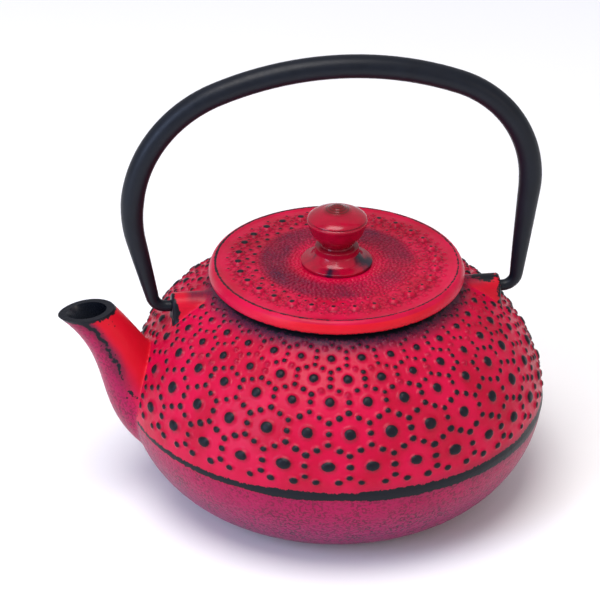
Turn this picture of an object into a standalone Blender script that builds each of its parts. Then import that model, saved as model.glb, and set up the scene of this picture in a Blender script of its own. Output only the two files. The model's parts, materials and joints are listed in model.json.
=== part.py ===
"""A small cast iron teapot with a bail handle, a lifting lid and a tea infuser.

Metres, +Z up. The origin is the centre of the flat underside and the spout points along -X.
"""

import math

import bmesh
import bpy
from mathutils import Matrix, Vector

MM = 0.001
GAP = 0.3 * MM  # clearance kept between pieces that rest on each other

# Driving dimensions
BODY_RADIUS = 75 * MM
RIDGE_HEIGHT = 36 * MM  # the edge between the plain bowl and the shoulder
BASE_RADIUS = 46.5 * MM
NECK_TOP = 81.8 * MM
NECK_RADIUS = 41.5 * MM
SHOULDER_TOP = (48.5 * MM, 75.3 * MM)  # where the shoulder's arc meets the short flare under the neck
SHOULDER_BULGE = 5.8 * MM  # of the arc beyond its chord
BOWL_TOP = (74.6 * MM, 33.6 * MM)
BOWL_BULGE = 6.3 * MM
WALL = 3.2 * MM
FLOOR_HEIGHT = 4.2 * MM
LEDGE_HEIGHT = 80 * MM  # the step inside the neck that carries the infuser
LEDGE_OUTER = 38.8 * MM
LEDGE_INNER = 36.2 * MM

# The spout's centre line, as a Bezier curve's four controls: distance from the axis, height
SPOUT_CONTROLS = [(54 * MM, 34 * MM), (78 * MM, 36 * MM), (70 * MM, 62 * MM), (99 * MM, 82 * MM)]
SPOUT_ROOT = (27 * MM, 23 * MM)  # half-width across and half-height inside the bowl
SPOUT_MOUTH = (7.8 * MM, 7.8 * MM)
SPOUT_TAPER = 2.3  # how fast the root narrows to the mouth
SPOUT_WALL = 2.2 * MM
MOUTH_BACK = (-79 * MM, 0, 74.5 * MM)  # the slanting cut of the mouth, at its rear and at its tip
MOUTH_TIP = (-99.5 * MM, 0, 72 * MM)

LUG_FACE = 58.9 * MM  # the flat outer faces of the lugs, from the axis
LUG_ROOT = 43 * MM
LUG_AXIS_HEIGHT = 73.2 * MM
LUG_TOP_RADIUS = 4.6 * MM
LUG_HALF_WIDTH = 7.6 * MM
SOCKET_RADIUS = 2.35 * MM
SOCKET_DEPTH = 8.4 * MM

LID_RADIUS = 45.2 * MM
LID_TOP = 86.7 * MM
LID_THICKNESS = 3.4 * MM
SKIRT_RADIUS = 33.4 * MM
SKIRT_WALL = 2.6 * MM
SKIRT_BOTTOM = 76 * MM

KNOB_FOOT_RADIUS = 12.6 * MM
KNOB_TOP = 109.3 * MM
SCREW_RADIUS = 2 * MM
SCREW_HEAD_RADIUS = 3.8 * MM
SCREW_REACH = 10 * MM  # of the thread above the lid
WASHER_RADIUS = 4.8 * MM

BAIL_TUBE_RADIUS = 4.1 * MM
BAIL_ROD_RADIUS = 2 * MM  # of the drawn-down ends
BAIL_RISE = 88.7 * MM  # centre of the tube above the lug sockets, at the middle of the arch
BAIL_TOP_BEND = (115 * MM, 21.5)  # bend radius, and degrees turned on each side of the middle
BAIL_LEFT = (47 * MM, 13)  # corner bend radius, and the leg's lean in degrees
BAIL_RIGHT = (41.5 * MM, 5.5)
BAIL_HOOK_BEND = 5 * MM
BAIL_PIN_END = 52 * MM  # the ends of the hooks, from the axis
BAIL_FULL_HEIGHT = 42 * MM  # above the sockets, where the tube reaches its full width

BASKET_RADIUS = 34.6 * MM
BASKET_BOTTOM = 36 * MM
SHEET = 0.5 * MM

ROUND_STEPS = 48


# Scene and materials

def clear_scene():
    for obj in list(bpy.data.objects):
        bpy.data.objects.remove(obj)


def new_collection(name):
    collection = bpy.data.collections.new(name)
    bpy.context.scene.collection.children.link(collection)
    return collection


def new_material(name, colour, roughness, metallic):
    material = bpy.data.materials.new(name)
    material.use_nodes = True
    shader = material.node_tree.nodes["Principled BSDF"]
    shader.inputs["Base Color"].default_value = (*colour, 1)
    shader.inputs["Roughness"].default_value = roughness
    shader.inputs["Metallic"].default_value = metallic
    return material


# Profiles, as lists of (radius, height)

def smooth_through(points, per_span):
    """Points on a Catmull-Rom curve that passes through the given ones."""
    ends = [points[0], *points, points[-1]]
    found = []
    for a, b, c, d in zip(ends, ends[1:], ends[2:], ends[3:]):
        a, b, c, d = (Vector(p) for p in (a, b, c, d))
        for i in range(per_span):
            t = i / per_span
            found.append(
                (2 * b + (c - a) * t + (2 * a - 5 * b + 4 * c - d) * t**2
                 + (3 * b - a - 3 * c + d) * t**3) / 2
            )
    return [tuple(p) for p in found] + [tuple(points[-1])]


def in_metres(points):
    return [(r * MM, z * MM) for r, z in points]


def moved_inwards(profile, distance):
    """The profile moved towards the axis side by a constant wall thickness."""
    moved = []
    for i, point in enumerate(profile):
        before = Vector(profile[max(i - 1, 0)])
        after = Vector(profile[min(i + 1, len(profile) - 1)])
        along = (after - before).normalized()
        inward = Vector((along.y, -along.x))
        moved.append(tuple(Vector(point) + inward * distance))
    return moved


def arc(start, end, bulge, steps):
    """Points on the circular arc from start to end that bulges this far to the left of its chord."""
    start, end = Vector(start), Vector(end)
    half = (end - start) / 2
    along = half.normalized()
    left = Vector((-along.y, along.x))
    radius = (half.length**2 + bulge**2) / (2 * bulge)
    centre = start + half - left * (radius - bulge)
    spread = math.asin(half.length / radius)
    turns = [spread * (2 * i / steps - 1) for i in range(steps + 1)]
    return [tuple(centre + radius * (along * math.sin(t) + left * math.cos(t))) for t in turns]


def shoulder_profile():
    """From the neck down to the ridge: a short flare, then one arc."""
    return [(42.4 * MM, 79.3 * MM), *arc(SHOULDER_TOP, (BODY_RADIUS, RIDGE_HEIGHT), SHOULDER_BULGE, 14)]


def bowl_profile():
    """One arc from just under the ridge down to the rim of the underside."""
    return arc(BOWL_TOP, (BASE_RADIUS, 0), BOWL_BULGE, 12)


# Building blocks

def turned(name, profile, collection, steps=ROUND_STEPS, closed=False):
    """A solid of revolution whose profile runs down its outer side."""
    mesh = bpy.data.meshes.new(name)
    vertices = [(r, 0, z) for r, z in profile]
    edges = [(i, i + 1) for i in range(len(vertices) - 1)]
    if closed:
        edges.append((len(vertices) - 1, 0))
    mesh.from_pydata(vertices, edges, [])
    obj = bpy.data.objects.new(name, mesh)
    collection.objects.link(obj)
    screw = obj.modifiers.new("Screw", "SCREW")
    screw.steps = screw.render_steps = steps
    screw.use_merge_vertices = True
    screw.merge_threshold = 1e-5
    return obj


def lofted(name, stations, collection, sides=24):
    """A capped tube through oval sections: centre, tangent, half-width across, half-height."""
    build = bmesh.new()
    rings = []
    for centre, tangent, across, high in stations:
        side = Vector((0, 1, 0))
        up = tangent.normalized().cross(side)
        ring = []
        for i in range(sides):
            angle = math.tau * i / sides
            offset = side * across * math.cos(angle) + up * high * math.sin(angle)
            ring.append(build.verts.new(centre + offset))
        rings.append(ring)
    for low, high_ring in zip(rings, rings[1:]):
        for i in range(sides):
            j = (i + 1) % sides
            build.faces.new((low[i], low[j], high_ring[j], high_ring[i]))
    build.faces.new(list(reversed(rings[0])))
    build.faces.new(rings[-1])
    bmesh.ops.recalc_face_normals(build, faces=build.faces)
    mesh = bpy.data.meshes.new(name)
    build.to_mesh(mesh)
    build.free()
    obj = bpy.data.objects.new(name, mesh)
    collection.objects.link(obj)
    return obj


def rod_along_x(name, radius, start, end, height, collection, sides=24):
    """A cylinder along X between two places, at this height over the origin."""
    build = bmesh.new()
    place = Matrix.Translation(((start + end) / 2, 0, height)) @ Matrix.Rotation(math.pi / 2, 4, "Y")
    bmesh.ops.create_cone(
        build, cap_ends=True, segments=sides, radius1=radius, radius2=radius,
        depth=abs(end - start), matrix=place,
    )
    mesh = bpy.data.meshes.new(name)
    build.to_mesh(mesh)
    build.free()
    obj = bpy.data.objects.new(name, mesh)
    collection.objects.link(obj)
    return obj


def curve_to_mesh(curve_object, collection):
    """Replaces a curve by its welded mesh, at the same place."""
    graph = bpy.context.evaluated_depsgraph_get()
    mesh = bpy.data.meshes.new_from_object(curve_object.evaluated_get(graph))
    build = bmesh.new()
    build.from_mesh(mesh)
    bmesh.ops.remove_doubles(build, verts=build.verts, dist=1e-6)
    bmesh.ops.recalc_face_normals(build, faces=build.faces)
    build.to_mesh(mesh)
    build.free()
    name = curve_object.name
    place = curve_object.matrix_world.copy()
    bpy.data.objects.remove(curve_object)
    obj = bpy.data.objects.new(name, mesh)
    obj.matrix_world = place
    collection.objects.link(obj)
    return obj


def boolean(obj, other, operation):
    modifier = obj.modifiers.new(other.name, "BOOLEAN")
    modifier.operation = operation
    modifier.object = other
    modifier.solver = "EXACT"
    other.hide_render = True
    other.display_type = "WIRE"


def finish(obj, material, smooth_angle=35):
    """Freezes the modifiers, and gives the piece its material and its shading."""
    graph = bpy.context.evaluated_depsgraph_get()
    mesh = bpy.data.meshes.new_from_object(obj.evaluated_get(graph))
    obj.modifiers.clear()
    obj.data = mesh
    mesh.materials.clear()
    mesh.materials.append(material)
    mesh.shade_smooth()
    mesh.set_sharp_from_angle(angle=math.radians(smooth_angle))


# The pot: one casting with its spout and its two lugs

def spout_stations(wall=0.0, steps=14):
    """Sections of the spout from inside the bowl to beyond the mouth, less a wall thickness."""
    a, b, c, d = (Vector((-s, 0, z)) for s, z in SPOUT_CONTROLS)
    stations = []
    for i in range(steps + 1):
        t = i / steps
        rest = 1 - t
        centre = a * rest**3 + b * 3 * rest**2 * t + c * 3 * rest * t**2 + d * t**3
        tangent = (b - a) * rest**2 + (c - b) * 2 * rest * t + (d - c) * t**2
        across, high = (
            mouth + (root - mouth) * rest**SPOUT_TAPER for root, mouth in zip(SPOUT_ROOT, SPOUT_MOUTH)
        )
        stations.append((centre, tangent, across - wall, high - wall))
    return stations


def mouth_cutter(collection):
    """The half-space above the slanting mouth of the spout."""
    back, tip = Vector(MOUTH_BACK), Vector(MOUTH_TIP)
    along = (tip - back).normalized()
    up = Vector((along.z, 0, -along.x))
    size = 40 * MM
    centre = (back + tip) / 2 + up * size / 2
    turn = Matrix((along, Vector((0, 1, 0)), up)).transposed().to_4x4()
    build = bmesh.new()
    bmesh.ops.create_cube(build, size=size, matrix=Matrix.Translation(centre) @ turn)
    bmesh.ops.recalc_face_normals(build, faces=build.faces)
    mesh = bpy.data.meshes.new("mouth_cutter")
    build.to_mesh(mesh)
    build.free()
    obj = bpy.data.objects.new("mouth_cutter", mesh)
    collection.objects.link(obj)
    return obj


def lug_outline():
    """The lug seen along X: a round top on sides that widen towards the shoulder."""
    points = []
    for i in range(13):
        angle = math.pi * i / 12
        points.append((LUG_TOP_RADIUS * math.cos(angle), LUG_TOP_RADIUS * math.sin(angle)))
    wide = LUG_HALF_WIDTH
    return points + [(-wide, -11 * MM), (-wide, -16 * MM), (wide, -16 * MM), (wide, -11 * MM)]


def lug(side, collection):
    """A lug between the neck and its flat outer face, on the +X or -X side."""
    curve = bpy.data.curves.new("lug", "CURVE")
    curve.dimensions = "2D"
    curve.fill_mode = "BOTH"
    curve.extrude = (LUG_FACE - LUG_ROOT) / 2
    spline = curve.splines.new("POLY")
    outline = lug_outline()
    spline.points.add(len(outline) - 1)
    for point, (y, z) in zip(spline.points, outline):
        point.co = (y, z, 0, 1)
    spline.use_cyclic_u = True
    obj = bpy.data.objects.new("lug", curve)
    axes = Matrix(((0, 0, 1), (1, 0, 0), (0, 1, 0))).to_4x4()
    middle = side * (LUG_FACE + LUG_ROOT) / 2
    obj.matrix_world = Matrix.Translation((middle, 0, LUG_AXIS_HEIGHT)) @ axes
    collection.objects.link(obj)
    bpy.context.view_layer.update()
    obj = curve_to_mesh(obj, collection)
    bevel = obj.modifiers.new("Bevel", "BEVEL")
    bevel.width = 1.1 * MM
    bevel.segments = 2
    bevel.limit_method = "ANGLE"
    bevel.angle_limit = math.radians(50)
    return obj


def cavity(collection):
    """The space inside the pot, with the ledge for the infuser under the neck."""
    inner = moved_inwards(shoulder_profile()[2:-1] + bowl_profile()[1:-2], WALL)
    profile = [
        (0, NECK_TOP + 5 * MM), (LEDGE_OUTER, NECK_TOP + 5 * MM), (LEDGE_OUTER, LEDGE_HEIGHT),
        (LEDGE_INNER, LEDGE_HEIGHT), (LEDGE_INNER, 76.6 * MM),
        *inner, (40 * MM, FLOOR_HEIGHT), (0, FLOOR_HEIGHT),
    ]
    return turned("cavity", profile, collection)


def make_pot_body(parts, cutters, material):
    outer = [
        (0, NECK_TOP), (NECK_RADIUS - 0.5 * MM, NECK_TOP), (NECK_RADIUS, NECK_TOP - 0.5 * MM),
        (NECK_RADIUS, 80.6 * MM), *shoulder_profile(), *bowl_profile(), (0, 0),
    ]
    body = turned("pot_body", outer, parts)
    spout = lofted("spout_outer", spout_stations(), cutters)
    boolean(spout, mouth_cutter(cutters), "DIFFERENCE")
    boolean(body, spout, "UNION")
    for side in (-1, 1):
        boolean(body, lug(side, cutters), "UNION")
    boolean(body, cavity(cutters), "DIFFERENCE")
    passage = lofted("spout_passage", spout_stations(SPOUT_WALL), cutters)
    boolean(body, passage, "DIFFERENCE")
    for side in (-1, 1):
        mouth = side * (LUG_FACE + 3 * MM)
        bottom = side * (LUG_FACE - SOCKET_DEPTH)
        socket = rod_along_x("lug_socket", SOCKET_RADIUS, mouth, bottom, LUG_AXIS_HEIGHT, cutters)
        boolean(body, socket, "DIFFERENCE")
    finish(body, material)


# The lid, its knob and the screw that holds it

def make_lid(parts, material):
    underside = LID_TOP - LID_THICKNESS
    seat = NECK_TOP + GAP
    skirt_inner = SKIRT_RADIUS - SKIRT_WALL
    hole = SCREW_RADIUS + GAP
    edge = smooth_through([
        (42.4 * MM, LID_TOP + 0.3 * MM), (43.6 * MM, LID_TOP + 0.2 * MM), (44.6 * MM, LID_TOP - 0.9 * MM),
        (LID_RADIUS, LID_TOP - 2.7 * MM), (LID_RADIUS - 0.1 * MM, LID_TOP - 4 * MM),
        (LID_RADIUS - 0.8 * MM, seat),
    ], 2)
    profile = [
        (hole, LID_TOP), (16 * MM, LID_TOP), (24 * MM, LID_TOP + 0.3 * MM), (33 * MM, LID_TOP + 0.1 * MM),
        (41.2 * MM, LID_TOP), *edge,
        (SKIRT_RADIUS, seat), (SKIRT_RADIUS, SKIRT_BOTTOM + 0.5 * MM),
        (SKIRT_RADIUS - 0.5 * MM, SKIRT_BOTTOM),
        (skirt_inner, SKIRT_BOTTOM), (skirt_inner, underside - 1 * MM),
        (skirt_inner - 2 * MM, underside), (hole, underside),
    ]
    lid = turned("lid", profile, parts, closed=True)
    finish(lid, material)


def make_lid_knob(parts, material):
    foot = LID_TOP + GAP
    hole = SCREW_RADIUS + GAP
    top = KNOB_TOP / MM
    cap = in_metres([(0, top), (1.5, top - 0.3), (5.3, top - 2.3), (9.6, top - 4.3), (10.3, top - 4.8)])
    groove = in_metres([(10, top - 5.3), (10.5, top - 5.9), (10.5, top - 6.7)])
    cup = smooth_through(in_metres([
        (10.2, top - 7.6), (9.2, top - 10.6), (7, top - 13.4), (5.6, top - 15), (5.7, top - 15.6),
    ]), 2)
    collar = in_metres([(7.4, top - 15.7), (7.7, top - 16.2), (7.7, top - 17.6)])
    flare = smooth_through([
        (7.8 * MM, (top - 18.4) * MM), (9.6 * MM, (top - 20.3) * MM), (12 * MM, (top - 21.2) * MM),
        (KNOB_FOOT_RADIUS, foot + 0.8 * MM), (KNOB_FOOT_RADIUS, foot),
    ], 2)
    socket_top = LID_TOP + SCREW_REACH + 1.3 * MM
    profile = [*cap, *groove, *cup, *collar, *flare, (hole, foot), (hole, socket_top), (0, socket_top)]
    knob = turned("lid_knob", profile, parts, steps=32)
    finish(knob, material)


def make_knob_screw(parts, cutters, material):
    underside = LID_TOP - LID_THICKNESS
    head_top = underside - 1.4 * MM
    head_bottom = head_top - 2.4 * MM
    tip = LID_TOP + SCREW_REACH
    profile = [
        (0, tip), (1.4 * MM, tip), (SCREW_RADIUS, tip - 0.6 * MM),
        (SCREW_RADIUS, head_top), (SCREW_HEAD_RADIUS, head_top), (SCREW_HEAD_RADIUS, head_top - 1.2 * MM),
        (3.1 * MM, head_bottom + 0.3 * MM), (2 * MM, head_bottom), (0, head_bottom),
    ]
    screw = turned("knob_screw", profile, parts, steps=24)
    for i, size in enumerate([(4.2, 0.9), (0.9, 4.2)]):
        build = bmesh.new()
        bmesh.ops.create_cube(build, size=1)
        bmesh.ops.scale(build, vec=(size[0] * MM, size[1] * MM, 2.6 * MM), verts=build.verts)
        bmesh.ops.translate(build, vec=(0, 0, head_bottom), verts=build.verts)
        mesh = bpy.data.meshes.new("drive_slot")
        build.to_mesh(mesh)
        build.free()
        slot = bpy.data.objects.new(f"drive_slot_{i}", mesh)
        cutters.objects.link(slot)
        boolean(screw, slot, "DIFFERENCE")
    finish(screw, material)


def make_knob_washer(parts, material):
    top = LID_TOP - LID_THICKNESS - GAP
    bottom = top - 0.8 * MM
    hole = SCREW_RADIUS + GAP
    profile = [(hole, top), (WASHER_RADIUS, top), (WASHER_RADIUS, bottom), (hole, bottom)]
    washer = turned("knob_washer", profile, parts, steps=32, closed=True)
    finish(washer, material)


# The bail handle: one bent tube whose drawn-down ends hook into the lugs

def bend(route, heading, to_heading, radius, steps):
    """Carries a tube's centre line on round a bend. Headings are degrees below straight outwards."""
    distance, height = route[-1]
    start = math.radians(heading)
    for i in range(1, steps + 1):
        turn = math.radians(heading + (to_heading - heading) * i / steps)
        route.append((
            distance + radius * (math.sin(turn) - math.sin(start)),
            height - radius * (math.cos(start) - math.cos(turn)),
        ))


def bail_side(corner_bend, lean):
    """One side of the arch, from its middle to the end of its pin: distance from the axis, height."""
    top_bend, top_turn = BAIL_TOP_BEND
    route = [(0, BAIL_RISE)]
    bend(route, 0, top_turn, top_bend, 4)
    bend(route, top_turn, 90 + lean, corner_bend, 9)
    distance, height = route[-1]
    leg_end = BAIL_HOOK_BEND * (1 - math.sin(math.radians(lean)))
    for share in (1 / 3, 2 / 3, 1):
        drop = (height - leg_end) * share
        route.append((distance - drop * math.tan(math.radians(lean)), height - drop))
    bend(route, 90 + lean, 180, BAIL_HOOK_BEND, 3)
    return route + [(BAIL_PIN_END, 0)]


def bail_radius(height):
    """The tube swells from the rod at the hooks to its full width part of the way up."""
    share = min(max(height / BAIL_FULL_HEIGHT, 0), 1) ** 0.8
    return BAIL_ROD_RADIUS + (BAIL_TUBE_RADIUS - BAIL_ROD_RADIUS) * share


def make_handle(parts, material):
    left = [(-distance, height) for distance, height in reversed(bail_side(*BAIL_LEFT))]
    route = left + bail_side(*BAIL_RIGHT)[1:]
    curve = bpy.data.curves.new("handle", "CURVE")
    curve.dimensions = "3D"
    curve.bevel_depth = BAIL_TUBE_RADIUS
    curve.bevel_resolution = 2
    curve.use_fill_caps = True
    spline = curve.splines.new("POLY")
    spline.points.add(len(route) - 1)
    for point, (x, height) in zip(spline.points, route):
        point.co = (x, 0, height, 1)
        point.radius = bail_radius(height) / BAIL_TUBE_RADIUS
    obj = bpy.data.objects.new("handle", curve)
    obj.location = (0, 0, LUG_AXIS_HEIGHT)
    parts.objects.link(obj)
    bpy.context.view_layer.update()
    handle = curve_to_mesh(obj, parts)
    finish(handle, material)


# The infuser: a mesh basket hung in the neck by its rim

def make_infuser_rim(parts, material):
    low = LEDGE_HEIGHT + GAP
    inner = BASKET_RADIUS + GAP
    outer = inner + SHEET
    flange = LEDGE_OUTER - 0.4 * MM
    collar = LEDGE_HEIGHT - 6 * MM
    top = low + 0.8 * MM
    profile = [(inner, top), (flange, top), (flange, low), (outer, low), (outer, collar), (inner, collar)]
    rim = turned("infuser_rim", profile, parts, closed=True)
    finish(rim, material)


def make_infuser_wall(parts, material):
    top = LEDGE_HEIGHT + 0.8 * MM
    bottom = BASKET_BOTTOM + 1.7 * MM
    inner = BASKET_RADIUS - SHEET
    profile = [(inner, top), (BASKET_RADIUS, top), (BASKET_RADIUS, bottom), (inner, bottom)]
    wall = turned("infuser_wall", profile, parts, closed=True)
    finish(wall, material)


def make_infuser_base_ring(parts, material):
    inner = BASKET_RADIUS + GAP
    outer = inner + SHEET
    lip = BASKET_RADIUS - 4 * MM
    top = BASKET_BOTTOM + 4.5 * MM
    floor = BASKET_BOTTOM + SHEET
    profile = [
        (inner, top), (outer, top), (outer, BASKET_BOTTOM + 0.3 * MM), (outer - 0.3 * MM, BASKET_BOTTOM),
        (lip, BASKET_BOTTOM), (lip, floor), (inner, floor),
    ]
    ring = turned("infuser_base_ring", profile, parts, closed=True)
    finish(ring, material)


def make_infuser_base_mesh(parts, material):
    low = BASKET_BOTTOM + SHEET + GAP
    profile = [(0, low + SHEET), (BASKET_RADIUS, low + SHEET), (BASKET_RADIUS, low), (0, low)]
    disc = turned("infuser_base_mesh", profile, parts)
    finish(disc, material)


def main():
    clear_scene()
    parts = new_collection("cast_iron_teapot")
    cutters = new_collection("cutters")
    red_iron = new_material("red_painted_iron", (0.55, 0.012, 0.045), 0.5, 0)
    black_steel = new_material("black_coated_steel", (0.02, 0.021, 0.026), 0.5, 0)
    stainless = new_material("stainless_steel", (0.62, 0.62, 0.6), 0.3, 1)
    make_pot_body(parts, cutters, red_iron)
    make_lid(parts, red_iron)
    make_lid_knob(parts, red_iron)
    make_knob_screw(parts, cutters, stainless)
    make_knob_washer(parts, stainless)
    make_handle(parts, black_steel)
    make_infuser_rim(parts, stainless)
    make_infuser_wall(parts, stainless)
    make_infuser_base_ring(parts, stainless)
    make_infuser_base_mesh(parts, stainless)
    cutters.hide_render = True


main()
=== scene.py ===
"""Looks of the cast iron teapot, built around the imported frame. Metres, +Z up, spout along -X."""

import json
import math

import bmesh
import bpy
import numpy as np
from mathutils import Matrix, Vector, kdtree


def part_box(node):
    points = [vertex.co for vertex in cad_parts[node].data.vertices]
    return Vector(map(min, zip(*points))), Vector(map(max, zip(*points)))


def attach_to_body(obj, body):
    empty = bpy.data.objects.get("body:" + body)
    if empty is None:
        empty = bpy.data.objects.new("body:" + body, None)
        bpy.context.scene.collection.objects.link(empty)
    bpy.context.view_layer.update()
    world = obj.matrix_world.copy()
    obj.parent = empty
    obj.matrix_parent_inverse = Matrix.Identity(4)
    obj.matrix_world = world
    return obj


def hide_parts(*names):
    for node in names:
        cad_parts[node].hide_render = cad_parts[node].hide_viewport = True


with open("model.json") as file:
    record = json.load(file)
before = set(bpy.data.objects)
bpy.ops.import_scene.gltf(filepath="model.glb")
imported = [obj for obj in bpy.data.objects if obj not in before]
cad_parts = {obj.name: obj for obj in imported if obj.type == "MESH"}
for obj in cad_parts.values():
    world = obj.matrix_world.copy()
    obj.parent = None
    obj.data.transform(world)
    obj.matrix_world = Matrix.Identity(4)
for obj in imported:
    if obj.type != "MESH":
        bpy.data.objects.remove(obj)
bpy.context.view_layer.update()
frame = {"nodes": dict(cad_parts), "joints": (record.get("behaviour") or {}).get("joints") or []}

MM = 0.001
GAP = 0.3  # millimetres of room between neighbouring pieces

# Driving sizes in millimetres, from the frame
POT_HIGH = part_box("pot_body")[1] / MM
LID_LOW, LID_HIGH = (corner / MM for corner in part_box("lid"))
KNOB_LOW, KNOB_HIGH = (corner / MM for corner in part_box("lid_knob"))
BAIL_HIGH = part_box("handle")[1] / MM
BASKET_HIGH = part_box("infuser_wall")[1] / MM
BODY_RADIUS = POT_HIGH.y
NECK_TOP = POT_HIGH.z
LID_RADIUS = LID_HIGH.y
KNOB_TOP = KNOB_HIGH.z
KNOB_FOOT = KNOB_LOW.z
LID_TOP = KNOB_FOOT - GAP
LUG_AXIS = next(j for j in frame["joints"] if j["name"] == "bail_swing")["pos_m"][2] / MM

WALL = 3.2
NECK_RADIUS = 41.5
LEDGE_HEIGHT, LEDGE_OUTER, LEDGE_INNER = NECK_TOP - 1.8, 38.8, 36.2
RIDGE_HEIGHT = 36.0
FLARE_TOP = (42.4, 79.3)  # a short flare leads from the neck to the shoulder's arc
SHOULDER_TOP, SHOULDER_BULGE = (48.5, 75.3), 5.8
BOWL_TOP, BOWL_BULGE, BASE_RADIUS = (74.6, 33.6), 6.3, 46.5
FLOOR_HEIGHT = 4.2
LUG_ROOT, LUG_FACE, LUG_TOP_RADIUS, LUG_HALF_WIDTH = 43, 58.9, 4.6, 7.6
SOCKET_RADIUS, SOCKET_DEPTH = 2.35, 8.4

LID_THICKNESS, SCREW_RADIUS = 3.4, 2.0
SKIRT_RADIUS, SKIRT_BOTTOM = 33.4, LID_LOW.z
BASKET_RADIUS, SHEET = BASKET_HIGH.y, 0.5
BASKET_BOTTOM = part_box("infuser_base_ring")[0].z / MM
NET_PITCH = 1.45

BAIL_TUBE_RADIUS, BAIL_ROD_RADIUS = 4.1, 2.0
BAIL_TOP_BEND = (115, 21.5)  # bend radius, and degrees turned on each side of the middle
BAIL_LEFT = (47, 13)  # corner bend radius, and the leg's lean in degrees
BAIL_RIGHT = (41.5, 5.5)
BAIL_HOOK_BEND, BAIL_PIN_END = 5, 52
BAIL_FULL_HEIGHT = 42  # above the sockets, where the tube reaches its full width
BAIL_RISE = BAIL_HIGH.z - BAIL_TUBE_RADIUS - LUG_AXIS

# The spout's centre line, as a Bezier curve's four controls: distance from the axis, height
SPOUT_CONTROLS = np.array([(54, 34), (78, 36), (70, 62), (99, 82)], float)
SPOUT_ROOT = np.array([27.0, 23.0])  # half-width across and half-height inside the bowl
SPOUT_MOUTH, SPOUT_TAPER, SPOUT_WALL = 7.8, 2.3, 2.2
SPOUT_RIDGE = 1.9  # below 2, the spout's oval flanks draw out into soft ridges
MOUTH_BACK = np.array([-79, 0, 74.5])  # the slanting cut of the mouth, at its rear and at its tip
MOUTH_TIP = np.array([-99.5, 0, 72])

AROUND = 800  # steps round the pot
SPOUT_SIDES = 144
CELLS = 30  # hobnail cells round the shoulder
CELL = math.tau / CELLS
SEED = 7

SIDEWAYS = np.array([0.0, 1.0, 0.0])
UPRIGHT = (SIDEWAYS, np.array([0.0, 0.0, 1.0]))


# Small numeric helpers; shapes are worked out in millimetres with numpy

def smoothstep(low, high, value):
    t = np.clip((value - low) / (high - low), 0, 1)
    return t * t * (3 - 2 * t)


def smooth_through(points, per_span=8):
    """Points on a Catmull-Rom curve that passes through the given rows of numbers."""
    rows = np.array(points, float)
    ends = np.vstack([rows[:1], rows, rows[-1:]])
    t = np.linspace(0, 1, per_span, endpoint=False)[:, None]
    spans = [
        (2 * b + (c - a) * t + (2 * a - 5 * b + 4 * c - d) * t**2 + (3 * b - a - 3 * c + d) * t**3) / 2
        for a, b, c, d in zip(ends, ends[1:], ends[2:], ends[3:])
    ]
    return np.vstack([*spans, rows[-1:]])


def arc(start, end, bulge, steps=40):
    """Points on the circular arc from start to end that bulges this far to the left of its chord."""
    start, end = np.array(start, float), np.array(end, float)
    half = (end - start) / 2
    reach = math.hypot(*half)
    ahead = half / reach
    left = np.array([-ahead[1], ahead[0]])
    radius = (reach**2 + bulge**2) / (2 * bulge)
    centre = start + half - left * (radius - bulge)
    spread = math.asin(reach / radius)
    turn = np.linspace(-spread, spread, steps + 1)[:, None]
    return centre + radius * (ahead * np.sin(turn) + left * np.cos(turn))


def lengths_along(points):
    """How far along a polyline each of its points lies."""
    return np.concatenate([[0], np.cumsum(np.linalg.norm(np.diff(points, axis=0), axis=1))])


def respaced(points, spacing):
    """The same polyline with its points about this far apart."""
    along = lengths_along(points)
    places = np.linspace(0, along[-1], max(2, round(along[-1] / spacing) + 1))
    return np.column_stack([np.interp(places, along, column) for column in points.T])


def directions(points):
    """The unit direction of a polyline at each of its points."""
    ahead = np.gradient(points, axis=0)
    return ahead / np.linalg.norm(ahead, axis=1)[:, None]


def circle(steps):
    """Points round a circle of radius 1."""
    angle = np.arange(steps) * math.tau / steps
    return np.column_stack([np.cos(angle), np.sin(angle)])


def polar(points):
    """Distance from the axis and angle round it of each point."""
    return np.hypot(points[:, 0], points[:, 1]), np.arctan2(points[:, 1], points[:, 0])


def moved_inwards(profile, distance):
    """A profile that runs down an outer side, moved into the wall."""
    along = directions(profile)
    return profile + distance * np.column_stack([along[:, 1], -along[:, 0]])


def ripple(points, size, variant):
    """Smooth noise at each point, mostly between -1 and 1, with lumps of about this size."""
    rng = np.random.default_rng(SEED + variant)
    total = np.zeros(len(points))
    for octave in range(2):
        for _ in range(6):
            turn = rng.normal(size=3)
            turn *= math.tau / (size * 1.6) * 2**octave / np.linalg.norm(turn)
            total += np.sin(points @ turn + rng.uniform(0, math.tau)) / 2**octave
    return total / 4.5


# Mesh helpers

def mesh_object(name, points, faces, material):
    mesh = bpy.data.meshes.new(name)
    mesh.from_pydata((np.asarray(points) * MM).tolist(), [], faces)
    mesh.materials.append(material)
    obj = bpy.data.objects.new(name, mesh)
    bpy.context.scene.collection.objects.link(obj)
    return obj


def ring_faces(rings, steps, closed=False):
    """Quads between rings of points, as lists of indices."""
    first = np.arange(rings if closed else rings - 1)[:, None]
    ring, after = first * steps, (first + 1) % rings * steps
    i = np.arange(steps)[None, :]
    j = (i + 1) % steps
    quads = np.stack([ring + i, after + i, after + j, ring + j], axis=-1)
    return quads.reshape(-1, 4).tolist()


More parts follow.
